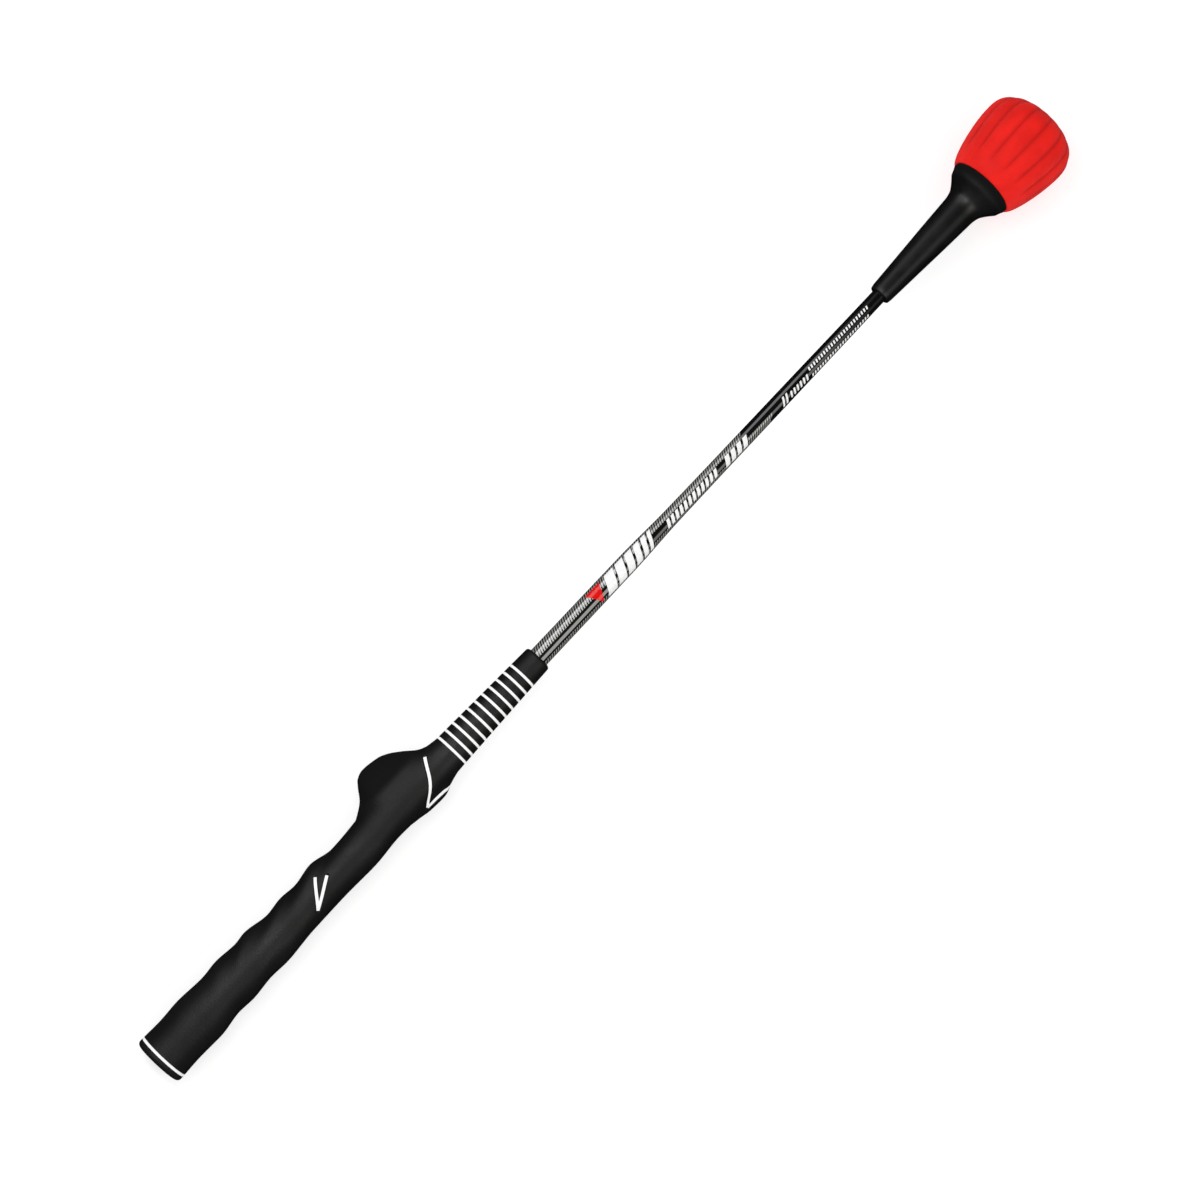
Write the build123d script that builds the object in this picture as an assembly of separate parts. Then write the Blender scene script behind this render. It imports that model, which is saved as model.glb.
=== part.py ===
"""Swing trainer stick: a short weighted practice club.

Row frame, in millimetres: X runs along the shaft axis from the middle of the butt
face to the crown of the head, +Y is the side of the thumb ledge and +Z is up when
the stick lies on its side.
"""
from build123d import *
import os
from math import cos, exp, pi, sin, sqrt

# ---------------------------------------------------------------- driving dimensions
# Places along the axis, measured from the butt face.
CAP_THICKNESS = 3.4
RING_ZONE_START = 204.0
GRIP_END = 267.6
SHAFT_BUTT = 6.0
SHAFT_TIP = 576.0
NECK_START = 516.6
SOCKET_START = 538.0
NECK_END = 594.4
HEAD_WIDEST = 623.9
CROWN_TIP = 641.1

# Grip.
BUTT_RADIUS = 13.4
CAP_EDGE_RADIUS = 2.0
VENT_RADIUS = 0.9
SPIGOT_RADIUS = 6.2
SPIGOT_LENGTH = 2.0
GROOVE_WIDTH = 1.4
GROOVE_DEPTH = 0.35
BUTT_GROOVE_WIDTH = 1.4
RING_ZONE_RADIUS = 9.27
MOUTH_RADIUS = 7.2
MOUTH_ROUNDING = 1.5
MOUTH_STEPS = 6
RING_COUNT = 11
RING_PITCH = 4.98
FIRST_RING = 205.55
LEDGE_SPREAD = 0.42
LEDGE_EDGE = 0.12
WEB_SPREAD = 0.36
GROOVE_LEAN = 20.0
STEP_LEAN = 10.8
SECTION_POINTS = 48

# Outlines of the grip: (place along the axis, distance from the axis).
THUMB_BODY = [
    (3.4, 13.4), (15, 13.0), (27, 13.5), (44, 12.5), (53.5, 13.2), (66.4, 12.1), (72.6, 12.7),
    (87, 10.5), (96.5, 11.4), (106, 10.55), (118, 12.1), (131, 9.6), (137, 9.75), (149, 10.6),
    (168, 12.0), (188, 11.6), (204, 9.3),
]
FINGER_BODY = [
    (3.4, 13.4), (15, 13.0), (30, 13.4), (44, 11.9), (53.5, 12.5), (66.4, 11.6), (77.3, 12.2),
    (96.5, 11.0), (118, 10.8), (139.7, 11.4), (157.5, 10.3), (168, 10.6), (187, 9.9), (204, 9.3),
]
TOP_BODY = [
    (3.4, 13.4), (40, 12.9), (72, 12.3), (96.5, 11.4), (118, 11.2), (137, 10.6), (160, 11.0),
    (187, 10.6), (204, 9.3),
]
# Extra height of the thumb ledge, and of the web on the finger side opposite to it.
LEDGE_HEIGHT = [
    (148.8, 0), (156.5, 4.0), (161.3, 9.3), (164, 11.8), (168.6, 13.1), (178.3, 11.8),
    (183.1, 9.7), (188, 6.2), (195.3, 0.85), (198.5, 0),
]
WEB_HEIGHT = [(165.5, 0), (171, 0.9), (177, 2.25), (187, 3.1), (195.3, 0.85), (200, 0)]
# How far along the axis the finger grooves run as they go from the top to one side.
LEAN = [
    (30, 0), (70, GROOVE_LEAN), (130, GROOVE_LEAN), (160, STEP_LEAN), (185, STEP_LEAN), (204, 0),
]

# Shaft: (place, outside radius), and its wall.
SHAFT_OUTLINE = [
    (6, 6.4), (262, 5.3), (332, 5.15), (364, 4.3), (402, 4.1), (440, 4.05), (516.6, 3.85),
    (576, 3.8),
]
SHAFT_WALL = 1.9
STEP_DOWN = (332.0, 364.0)
TAPE_START = 8.0
TAPE_END = 262.0
TAPE_THICKNESS = 0.2
FIT_GAP = 0.05
OVERCUT = 1.0

# Neck, and the steel socket and stud inside it.
NECK_OUTLINE = [
    (516.6, 5.5), (519, 5.95), (541, 7.15), (556, 8.0), (572, 8.8), (576, 9.0), (580, 9.8),
    (584, 12.1), (588, 15.3),
]
NECK_RIM_RADIUS = 16.8
NECK_RIM_WIDTH = 3.4
RIM_CHAMFER = (0.6, 0.1)
SOCKET_RADIUS = 5.4
FLANGE_RADIUS = 12.5
FLANGE_THICKNESS = 4.0
STUD_RADIUS = 4.0
STUD_END = 630.8
STUD_CHAMFER = 0.6
TIP_GAP = 0.1

# Head: ribbed rubber cover over a rigid core that holds the weight.
HEAD_RADIUS = 25.2
BOWL_START = 593.0
BOWL_RADIUS = 17.5
BOWL_POWER = 1.5
CROWN_POWER = 2.6
COVER_THICKNESS = 3.2
RIB_COUNT = 15
RIB_TURN = 1.2 * pi / 180
RIB_DEPTH = 1.0
RIB_FADE = [(596, 0), (608, 1), (634, 1), (641.1, 0.5)]
POINTS_PER_RIB = 6
SKIN_SECTIONS = 12
WEIGHT_RADIUS = 17.0
WEIGHT_START = 598.3
WEIGHT_LENGTH = 22.0
WASHER_RADIUS = 8.5
WASHER_THICKNESS = 1.6
NUT_ACROSS_FLATS = 13.0
NUT_HEIGHT = 8.0
LID_START = 631.2
LID_THICKNESS = 2.2


# ---------------------------------------------------------------- helpers
def profile(points, x):
    """Height at x of a smooth line through the points that never overshoots them."""
    if x <= points[0][0]:
        return points[0][1]
    if x >= points[-1][0]:
        return points[-1][1]
    slopes = [(b[1] - a[1]) / (b[0] - a[0]) for a, b in zip(points, points[1:])]
    tangents = [slopes[0]]
    for left, right in zip(slopes, slopes[1:]):
        same_way = left * right > 0
        tangents.append(2 * left * right / (left + right) if same_way else 0.0)
    tangents.append(slopes[-1])
    i = max(k for k, point in enumerate(points) if point[0] <= x)
    span = points[i + 1][0] - points[i][0]
    t = (x - points[i][0]) / span
    start = (1 + 2 * t) * (1 - t) ** 2 * points[i][1] + t * (1 - t) ** 2 * span * tangents[i]
    end = t * t * (3 - 2 * t) * points[i + 1][1] + t * t * (t - 1) * span * tangents[i + 1]
    return start + end


def turned(*outline):
    """Solid of revolution about the shaft axis from a closed outline of (x, radius) points."""
    face = make_face(Polyline(*outline, close=True))
    return revolve(face, axis=Axis.X)


def disc(start, end, radius):
    return turned((start, 0), (end, 0), (end, radius), (start, radius))


# ---------------------------------------------------------------- grip
def ring_zone_radius(x):
    """Skin of the tapered front of the grip, a hair inside the moulded body where they join."""
    share = (x - RING_ZONE_START) / (GRIP_END - RING_ZONE_START)
    return RING_ZONE_RADIUS + share * (MOUTH_RADIUS - RING_ZONE_RADIUS)


def grip_radius(x, angle):
    """Distance of the grip's skin from the axis; angle 0 faces the thumb ledge."""
    side = cos(angle)
    lean = profile(LEAN, x)
    thumb = profile(THUMB_BODY, x + lean * (1 - side))
    finger = profile(FINGER_BODY, x - lean * (1 + side))
    top = profile(TOP_BODY, x)
    body = top + ((thumb if side > 0 else finger) - top) * side**2
    off_ledge = sqrt(angle**2 + LEDGE_EDGE**2) - LEDGE_EDGE
    ledge = profile(LEDGE_HEIGHT, x) * exp(-off_ledge / LEDGE_SPREAD)
    web = profile(WEB_HEIGHT, x) * exp(-(((pi - abs(angle)) / WEB_SPREAD) ** 2))
    return body + ledge + web


def grip_section(x):
    """Closed smooth curve round the moulded body of the grip at one place along the axis."""
    angles = [-pi + 2 * pi * k / SECTION_POINTS for k in range(SECTION_POINTS)]
    points = []
    for angle in angles:
        radius = grip_radius(x, angle)
        points.append((x, radius * cos(angle), radius * sin(angle)))
    # Every section has the same even parameters, so that the lofted skin stays light.
    even = [k / SECTION_POINTS for k in range(SECTION_POINTS + 1)]
    return Wire([Edge.make_spline(points, periodic=True, parameters=even)])


def spaced(start, end, step):
    """Evenly spaced places from start to end, both included, about a step apart."""
    count = max(1, round((end - start) / step))
    return [start + (end - start) * k / count for k in range(count + 1)]


def grip_body():
    """Moulded part of the grip, from the butt groove to the ring zone."""
    butt = CAP_THICKNESS + BUTT_GROOVE_WIDTH
    ledge = LEDGE_HEIGHT[0][0]
    places = spaced(butt, ledge, 3.5) + spaced(ledge, RING_ZONE_START, 2.2)[1:]
    return Solid.make_loft([grip_section(x) for x in places])


def ring_zone():
    """Tapered front of the grip, with its painted grooves and a rounded mouth."""
    outline = [(RING_ZONE_START, 0), (RING_ZONE_START, ring_zone_radius(RING_ZONE_START))]
    for k in range(RING_COUNT):
        centre = FIRST_RING + k * RING_PITCH
        radius = ring_zone_radius(centre)
        low, high = centre - GROOVE_WIDTH / 2, centre + GROOVE_WIDTH / 2
        bottom = radius - GROOVE_DEPTH
        outline += [(low, radius), (low, bottom), (high, bottom), (high, radius)]
    for step in range(MOUTH_STEPS + 1):
        turn = pi / 2 * step / MOUTH_STEPS
        x = GRIP_END - MOUTH_ROUNDING * (1 - sin(turn))
        outline.append((x, ring_zone_radius(GRIP_END) - MOUTH_ROUNDING * (1 - cos(turn))))
    outline.append((GRIP_END, 0))
    return turned(*outline)


def butt_groove():
    """Bottom of the painted groove behind the cap."""
    start, end = CAP_THICKNESS, CAP_THICKNESS + BUTT_GROOVE_WIDTH
    return disc(start, end, BUTT_RADIUS - GROOVE_DEPTH)


def shaft_radius(x):
    return profile(SHAFT_OUTLINE, x)


def grip_bore():
    """Bore for the taped shaft, open at both ends."""
    gap = TAPE_THICKNESS + 2 * FIT_GAP
    start, end = CAP_THICKNESS - OVERCUT, GRIP_END + OVERCUT
    return turned(
        (start, 0), (end, 0), (end, shaft_radius(end) + gap), (TAPE_END, shaft_radius(TAPE_END) + gap),
        (SHAFT_BUTT, shaft_radius(SHAFT_BUTT) + gap), (start, shaft_radius(SHAFT_BUTT) + gap),
    )


def grip_sleeve():
    return grip_body() + ring_zone() + butt_groove() - grip_bore()


def end_cap():
    """Butt cap with a breather hole and a short spigot that centres it in the sleeve."""
    cap = disc(0, CAP_THICKNESS, BUTT_RADIUS)
    rim = cap.edges().sort_by(Axis.X)[0]
    cap = fillet(rim, CAP_EDGE_RADIUS)
    cap += disc(CAP_THICKNESS, CAP_THICKNESS + SPIGOT_LENGTH, SPIGOT_RADIUS)
    return cap - disc(-OVERCUT, CAP_THICKNESS + SPIGOT_LENGTH + OVERCUT, VENT_RADIUS)


def grip_tape():
    """Layer of double-sided tape wound on the shaft under the sleeve."""
    inner = FIT_GAP
    outer = FIT_GAP + TAPE_THICKNESS
    return turned(
        (TAPE_START, shaft_radius(TAPE_START) + inner), (TAPE_END, shaft_radius(TAPE_END) + inner),
        (TAPE_END, shaft_radius(TAPE_END) + outer), (TAPE_START, shaft_radius(TAPE_START) + outer),
    )


# ---------------------------------------------------------------- shaft
def shaft():
    """Tapered fibreglass tube, thick in the grip and whippy towards the head."""
    plain = [place for place, radius in SHAFT_OUTLINE if place not in STEP_DOWN]
    places = sorted(plain + spaced(*STEP_DOWN, 4.0))
    outer = [(x, shaft_radius(x)) for x in places]
    inner = [(x, radius - SHAFT_WALL) for x, radius in reversed(outer)]
    return turned(*outer, *inner)


# ---------------------------------------------------------------- neck
def neck():
    """Flared moulding that hides the joint between shaft and head."""
    flare = Spline(*NECK_OUTLINE[1:], tangents=[(1, 0.055), (1, 0.62)])
    rim_start = NECK_END - NECK_RIM_WIDTH
    along, across = RIM_CHAMFER
    edge = (rim_start + along, NECK_RIM_RADIUS)
    shoulder = Polyline(NECK_OUTLINE[-1], (rim_start, NECK_RIM_RADIUS - across), edge)
    back = Polyline(
        edge, (NECK_END, NECK_RIM_RADIUS),
        (NECK_END, FLANGE_RADIUS + FIT_GAP), (NECK_END - FLANGE_THICKNESS, FLANGE_RADIUS + FIT_GAP),
        (NECK_END - FLANGE_THICKNESS, SOCKET_RADIUS + FIT_GAP), (SOCKET_START, SOCKET_RADIUS + FIT_GAP),
        (SOCKET_START, shaft_radius(SOCKET_START) + FIT_GAP),
        (NECK_START, shaft_radius(NECK_START) + FIT_GAP), NECK_OUTLINE[0], NECK_OUTLINE[1],
    )
    return revolve(make_face([flare, shoulder, back]), axis=Axis.X)


def shaft_stud():
    """Steel socket bonded on the shaft tip, with a flange and a stud for the head."""
    bore = shaft_radius(SHAFT_TIP) + TIP_GAP
    bottom = SHAFT_TIP + 1
    flange_start = NECK_END - FLANGE_THICKNESS
    return turned(
        (bottom, 0), (STUD_END, 0), (STUD_END, STUD_RADIUS - STUD_CHAMFER),
        (STUD_END - STUD_CHAMFER, STUD_RADIUS), (NECK_END, STUD_RADIUS), (NECK_END, FLANGE_RADIUS),
        (flange_start, FLANGE_RADIUS), (flange_start, SOCKET_RADIUS), (SOCKET_START, SOCKET_RADIUS),
        (SOCKET_START, bore), (bottom, bore),
    )


# ---------------------------------------------------------------- head
def head_points(count, inset=0.0):
    """(x, radius) points along the bowl and the crown, two superellipse quarters."""
    widest = HEAD_RADIUS - inset
    mouth = BOWL_RADIUS - inset
    tip = CROWN_TIP - inset
    points = []
    for k in range(count):
        turn = pi / 2 * k / count
        x = HEAD_WIDEST - (HEAD_WIDEST - BOWL_START) * cos(turn) ** (2 / BOWL_POWER)
        points.append((x, mouth + (widest - mouth) * sin(turn) ** (2 / BOWL_POWER)))
    for k in range(count):
        turn = pi / 2 * k / count
        x = HEAD_WIDEST + (tip - HEAD_WIDEST) * sin(turn) ** (2 / CROWN_POWER)
        points.append((x, widest * cos(turn) ** (2 / CROWN_POWER)))
    return points


def head_blank(inset=0.0):
    """Solid head shape, inset from the skin."""
    points = head_points(SKIN_SECTIONS, inset)
    tip = (CROWN_TIP - inset, 0)
    skin = Spline(*points, tip)
    closing = Polyline(tip, (BOWL_START, 0), points[0])
    return revolve(make_face([skin, closing]), axis=Axis.X)


def rib_radius(x, smooth, angle):
    """Skin of the cover: convex ribs that meet in creases and fade out towards neck and pole."""
    fade = profile(RIB_FADE, x)
    lobe = abs(sin(RIB_COUNT / 2 * (angle - RIB_TURN)))
    return smooth - RIB_DEPTH * fade * (1 - lobe) * smooth / HEAD_RADIUS


def ribbed_blank():
    """Solid head shape with its ribs, lofted through sections along the axis."""
    sections = []
    count = RIB_COUNT * POINTS_PER_RIB
    even = [k / count for k in range(count + 1)]
    for x, smooth in head_points(SKIN_SECTIONS):
        points = []
        for k in range(count):
            angle = RIB_TURN + 2 * pi * k / count
            radius = rib_radius(x, smooth, angle)
            points.append((x, radius * cos(angle), radius * sin(angle)))
        sections.append(Wire([Edge.make_spline(points, periodic=True, parameters=even)]))
    return Solid.make_loft(sections)


def head_cover():
    """Rubber shell of the head."""
    cover = ribbed_blank() - head_blank(COVER_THICKNESS)
    return cover - disc(BOWL_START - OVERCUT, NECK_END + FIT_GAP, NECK_RIM_RADIUS + FIT_GAP)


def head_core():
    """Rigid hub inside the cover, with a pocket for the weight that opens to the crown."""
    core = head_blank(COVER_THICKNESS + FIT_GAP)
    core -= disc(BOWL_START - OVERCUT, NECK_END + FIT_GAP, HEAD_RADIUS)
    core -= disc(BOWL_START - OVERCUT, CROWN_TIP, STUD_RADIUS + FIT_GAP)
    core -= disc(WEIGHT_START, CROWN_TIP, WEIGHT_RADIUS + FIT_GAP)
    return core


def drilled_disc(start, end, radius):
    """Disc with a clearance hole for the stud."""
    return disc(start, end, radius) - disc(start - OVERCUT, end + OVERCUT, STUD_RADIUS + FIT_GAP)


def head_weight():
    return drilled_disc(WEIGHT_START, WEIGHT_START + WEIGHT_LENGTH, WEIGHT_RADIUS)


def washer():
    start = WEIGHT_START + WEIGHT_LENGTH
    return drilled_disc(start, start + WASHER_THICKNESS, WASHER_RADIUS)


def lock_nut():
    start = WEIGHT_START + WEIGHT_LENGTH + WASHER_THICKNESS
    hexagon = RegularPolygon(NUT_ACROSS_FLATS / 2, 6, major_radius=False)
    nut = extrude(Plane.YZ.offset(start) * hexagon, NUT_HEIGHT)
    return nut - disc(start - OVERCUT, start + NUT_HEIGHT + OVERCUT, STUD_RADIUS + FIT_GAP)


def core_lid():
    """Disc that closes the weight pocket under the crown."""
    return disc(LID_START, LID_START + LID_THICKNESS, WEIGHT_RADIUS)


# ---------------------------------------------------------------- parts
NODES = {
    "grip_sleeve": grip_sleeve,
    "end_cap": end_cap,
    "grip_tape": grip_tape,
    "shaft": shaft,
    "neck": neck,
    "shaft_stud": shaft_stud,
    "head_core": head_core,
    "head_weight": head_weight,
    "washer": washer,
    "lock_nut": lock_nut,
    "core_lid": core_lid,
    "head_cover": head_cover,
}

os.makedirs("parts", exist_ok=True)
for name, build in NODES.items():
    export_step(build(), f"parts/{name}.step")
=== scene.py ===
from math import cos, pi, radians, sin

import bmesh
import bpy
import numpy as np
from mathutils import Matrix, Vector

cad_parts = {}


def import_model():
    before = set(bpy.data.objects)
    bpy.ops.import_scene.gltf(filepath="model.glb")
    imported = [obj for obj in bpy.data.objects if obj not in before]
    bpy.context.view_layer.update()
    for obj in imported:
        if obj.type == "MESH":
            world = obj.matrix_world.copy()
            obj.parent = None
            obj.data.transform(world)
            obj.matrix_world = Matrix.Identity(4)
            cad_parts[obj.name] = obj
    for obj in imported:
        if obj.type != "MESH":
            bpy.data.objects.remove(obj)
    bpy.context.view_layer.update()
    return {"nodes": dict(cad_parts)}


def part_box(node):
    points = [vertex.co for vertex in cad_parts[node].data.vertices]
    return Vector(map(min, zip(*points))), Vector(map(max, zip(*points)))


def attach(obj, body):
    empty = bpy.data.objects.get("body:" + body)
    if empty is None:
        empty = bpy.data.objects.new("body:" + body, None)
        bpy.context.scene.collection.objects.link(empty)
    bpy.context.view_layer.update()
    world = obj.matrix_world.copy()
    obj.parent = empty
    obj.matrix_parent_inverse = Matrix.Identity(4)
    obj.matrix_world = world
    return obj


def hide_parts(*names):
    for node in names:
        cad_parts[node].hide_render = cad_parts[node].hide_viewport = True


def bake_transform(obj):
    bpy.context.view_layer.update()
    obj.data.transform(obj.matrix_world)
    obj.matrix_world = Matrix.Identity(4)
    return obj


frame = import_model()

MM = 0.001
# Angle of the stick's top, measured from the thumb ledge.
UP = pi / 2


# ---------------------------------------------------------------- sizes from the frame, in millimetres
def span(node):
    """Where a node starts and ends along the stick's axis."""
    low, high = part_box(node)
    return low[0] / MM, high[0] / MM


def outer_radius(node):
    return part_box(node)[1][2] / MM


CAP_END = span("end_cap")[1]
SLEEVE_START, GRIP_END = span("grip_sleeve")
SHAFT_BUTT, SHAFT_TIP = span("shaft")
NECK_START, NECK_END = span("neck")
BOWL_START, CROWN_TIP = span("head_cover")
BUTT_RADIUS = outer_radius("end_cap")
RIM_RADIUS = outer_radius("neck")
HEAD_RADIUS = outer_radius("head_cover")

# ---------------------------------------------------------------- outlines, as in the part's source
# Each point is (place along the axis, distance from it or height above the body). Angles are measured
# from the thumb ledge, with 90 degrees at the top. Spreads are in radians.
THUMB_BODY = [
    (3.4, 13.4), (15, 13.0), (27, 13.5), (44, 12.5), (53.5, 13.2), (66.4, 12.1), (72.6, 12.7),
    (87, 10.5), (96.5, 11.4), (106, 10.55), (118, 12.1), (131, 9.6), (137, 9.75), (149, 10.6),
    (168, 12.0), (188, 11.6), (204, 9.3),
]
FINGER_BODY = [
    (3.4, 13.4), (15, 13.0), (30, 13.4), (44, 11.9), (53.5, 12.5), (66.4, 11.6), (77.3, 12.2),
    (96.5, 11.0), (118, 10.8), (139.7, 11.4), (157.5, 10.3), (168, 10.6), (187, 9.9), (204, 9.3),
]
TOP_BODY = [
    (3.4, 13.4), (40, 12.9), (72, 12.3), (96.5, 11.4), (118, 11.2), (137, 10.6), (160, 11.0),
    (187, 10.6), (204, 9.3),
]
LEDGE_HEIGHT = [
    (148.8, 0), (156.5, 4.0), (161.3, 9.3), (164, 11.8), (168.6, 13.1), (178.3, 11.8),
    (183.1, 9.7), (188, 6.2), (195.3, 0.85), (198.5, 0),
]
WEB_HEIGHT = [(165.5, 0), (171, 0.9), (177, 2.25), (187, 3.1), (195.3, 0.85), (200, 0)]
# How far the finger swells run along the grip on their way over the top, as (place, shift).
LEAN = [(30, 0), (70, 20.0), (130, 20.0), (160, 10.8), (185, 10.8), (204, 0)]
LEDGE_SPREAD = 0.42
LEDGE_EDGE = 0.12
WEB_SPREAD = 0.36
RING_ZONE_START = 204.0
RING_ZONE_RADIUS = 9.27
MOUTH_RADIUS = 7.2
MOUTH_ROUNDING = 1.5
SHAFT_OUTLINE = [
    (6, 6.4), (262, 5.3), (332, 5.15), (364, 4.3), (402, 4.1), (440, 4.05), (516.6, 3.85),
    (576, 3.8),
]
SHAFT_WALL = 1.9
TAPE_END = 262.0
TAPE_THICKNESS = 0.2
FIT_GAP = 0.05
# The part's source starts the neck's outline at a plain lip. NECK_LIP takes that point's place here.
NECK_OUTLINE = [
    (519, 5.95), (541, 7.15), (556, 8.0), (572, 8.8), (576, 9.0), (580, 9.8), (584, 12.1),
    (588, 15.3),
]
NECK_RIM_WIDTH = 3.4
SOCKET_START = 538.0
SOCKET_RADIUS = 5.4
FLANGE_RADIUS = 12.5
FLANGE_THICKNESS = 4.0
CAP_EDGE_RADIUS = 2.0
VENT_RADIUS = 0.9
SPIGOT_RADIUS = 6.2

# Painted grooves round the grip: the butt's, and the front ones from the first at an even pitch.
GROOVE_DEPTH = 0.35
BUTT_GROOVE_WIDTH = 1.4
GROOVE_WIDTH = 1.4
FIRST_RING = 205.55
RING_COUNT = 11
RING_PITCH = 4.98

# Head cover.
HEAD_WIDEST = 623.9
BOWL_RADIUS = 17.5
BOWL_POWER = 1.5
CROWN_POWER = 2.6
COVER_THICKNESS = 3.2
RIB_COUNT = 15
RIB_TURN = radians(1.2)
RIB_DEPTH = 1.0
RIB_FADE = [(596, 0), (608, 1), (634, 1), (641.1, 0.5)]

# ---------------------------------------------------------------- finer details than the part's source
# The neck's lip is (place past its start, radius), and its rim (place past the rim's start, drop).
NECK_LIP = [(0, 5.2), (0.15, 5.45), (0.6, 5.62)]
NECK_RIM = [(-0.3, 0.55), (0, 0.5), (0.3, 0.12), (0.9, 0)]
NECK_RIM_ROUNDING = 0.7

# The cap's face has a shallow ring. The edge of its hole is (place, distance past the hole's radius).
CAP_RING = [(0.0, 3.2), (0.22, 3.45), (0.22, 4.4), (0.0, 4.65)]
VENT_EDGE = [(0.25, 0), (0.08, 0.12), (0.0, 0.35)]

# Lips of the grooves, and the paint that lies in the grooves and in the marks.
GROOVE_LIP = 0.12
PAINT_DEPTH = 0.1
PAINT_EDGE = 0.05

# Painted hand-position marks, each stroke as (place, angle in degrees). Their engraved edge slopes
# from a little inside the stroke to a little outside it, and their paint is rooted in the rubber.
# Skin within the margin of a stroke is looked at for the engraving.
MARK_WIDTH = 1.5
MARK_EDGE = (-0.05, 0.25)
MARK_ROOT = 0.1
MARK_MARGIN = 2.0
HAND_MARK = [
    [(105.1, 123), (115.7, 57)],
    [(105.1, 123), (120.3, 77)],
]
FINGER_MARK = [
    [(177.2, 160), (180, 143), (183, 128), (185.7, 113), (188.1, 97), (193.9, 47)],
    [(177.2, 160), (183, 161), (188, 164), (191, 172), (194, 186), (196.5, 200)],
]

# Mesh density: points round each piece, and steps along it in millimetres. The shaft's steps are
# those under the tape, in the open, and inside the neck. Prints step round the shaft in degrees.
SLEEVE_COLUMNS = 220
SHAFT_COLUMNS = 72
LATHE_COLUMNS = 128
POINTS_PER_RIB = 24
COVER_ROWS = 70
COVER_INNER_ROWS = 24
SKIN_STEP = 1.0
RING_ZONE_STEP = 3.0
MARK_STEP = 0.33
MARK_ZONES = [(103, 123), (175, 199)]
STROKE_STEP = 0.4
SHAFT_STEPS = (16, 2, 10)
PRINT_DEGREES = 3

# Where finishes change and painted shade starts: height of the ledge, then places along the neck's rim
# and the ribs.
LEDGE_DULL_AND_SHADED = (9.0, 13.5)
RIM_DULL_AND_SHADED = (585.0, 591.0)
CREASES_SHADED = (598.0, 607.0)


def profile(points, x):
    """Height at x of a smooth line through the points that never overshoots them."""
    places, heights = np.array(points, float).T
    slopes = np.diff(heights) / np.diff(places)
    same_way = slopes[:-1] * slopes[1:] > 0
    total = np.where(same_way, slopes[:-1] + slopes[1:], 1.0)
    inner = np.where(same_way, 2 * slopes[:-1] * slopes[1:] / total, 0.0)
    tangents = np.concatenate([slopes[:1], inner, slopes[-1:]])
    x = np.clip(x, places[0], places[-1])
    i = np.clip(np.searchsorted(places, x, side="right") - 1, 0, len(slopes) - 1)
    length = places[i + 1] - places[i]
    t = (x - places[i]) / length
    start = (1 + 2 * t) * (1 - t) ** 2 * heights[i] + t * (1 - t) ** 2 * length * tangents[i]
    end = t * t * (3 - 2 * t) * heights[i + 1] + t * t * (t - 1) * length * tangents[i + 1]
    return start + end


def smoothstep(low, high, value):
    t = np.clip((value - low) / (high - low), 0, 1)
    return t * t * (3 - 2 * t)


def evenly(start, end, step):
    return np.linspace(start, end, max(1, round((end - start) / step)) + 1)


# ---------------------------------------------------------------- mesh helpers
def add_object(name, data):
    """New object in the scene that shows data."""
    added = bpy.data.objects.new(name, data)
    bpy.context.scene.collection.objects.link(added)
    return added


def mesh_piece(name, vertices, faces, sharp=40):
    """Mesh object in metres from vertices in millimetres, shaded smooth below the sharp angle."""
    mesh = bpy.data.meshes.new(name)
    mesh.from_pydata((np.asarray(vertices, float) * MM).tolist(), [], faces)
    build = bmesh.new()
    build.from_mesh(mesh)
    bmesh.ops.recalc_face_normals(build, faces=build.faces)
    build.to_mesh(mesh)
    build.free()
    mesh.polygons.foreach_set("use_smooth", [True] * len(mesh.polygons))
    mesh.set_sharp_from_angle(angle=radians(sharp))
    return add_object(name, mesh)


def ring_faces(rows, columns, loop, first=0):
    """Quads between rings of points; loop joins the last ring to the first."""
    faces = []
    for row in range(rows if loop else rows - 1):
        a = first + row * columns
        b = first + (row + 1) % rows * columns
        for k in range(columns):
            after = (k + 1) % columns
            faces.append((a + k, a + after, b + after, b + k))
    return faces


def ring_loop(name, rings, sharp=40):
    """Closed skin over an array of rings whose last one meets the first."""
    rows, columns = rings.shape[:2]
    return mesh_piece(name, rings.reshape(-1, 3), ring_faces(rows, columns, loop=True), sharp)


def circles(outline, count=LATHE_COLUMNS):
    """One ring of points round the axis for each (place, radius)."""
    turn = np.arange(count) * 2 * pi / count
    places, radii = np.array(outline, float).T
    ones = np.ones(count)
    return np.stack(
        [np.outer(places, ones), np.outer(radii, np.cos(turn)), np.outer(radii, np.sin(turn))], axis=-1
    )


def lathe(name, outline, sharp=40):
    """Solid of revolution about the stick's axis from a closed outline of (place, radius)."""
    return ring_loop(name, circles(outline), sharp)


def slab(outer, inner):
    """Vertices and faces of a thin closed slab between two equal grids of points."""
    rows, columns = outer.shape[:2]
    vertices = np.concatenate([outer.reshape(-1, 3), inner.reshape(-1, 3)])
    under = rows * columns
    faces = []
    for i in range(rows - 1):
        for j in range(columns - 1):
            a = i * columns + j
            quad = (a, a + 1, a + columns + 1, a + columns)
            faces += [quad, tuple(under + v for v in reversed(quad))]
    edge = list(range(columns))
    edge += [i * columns + columns - 1 for i in range(1, rows)]
    edge += [(rows - 1) * columns + j for j in range(columns - 2, -1, -1)]
    edge += [i * columns for i in range(rows - 2, 0, -1)]
    for a, b in zip(edge, edge[1:] + edge[:1]):
        faces.append((a, b, under + b, under + a))
    return vertices, faces


def joined(parts):
    """One list of vertices and one of faces from several (vertices, faces)."""
    vertices, faces = [], []
    for part_vertices, part_faces in parts:
        first = len(vertices)
        vertices += list(part_vertices)
        faces += [tuple(first + v for v in face) for face in part_faces]
    return vertices, faces


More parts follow.
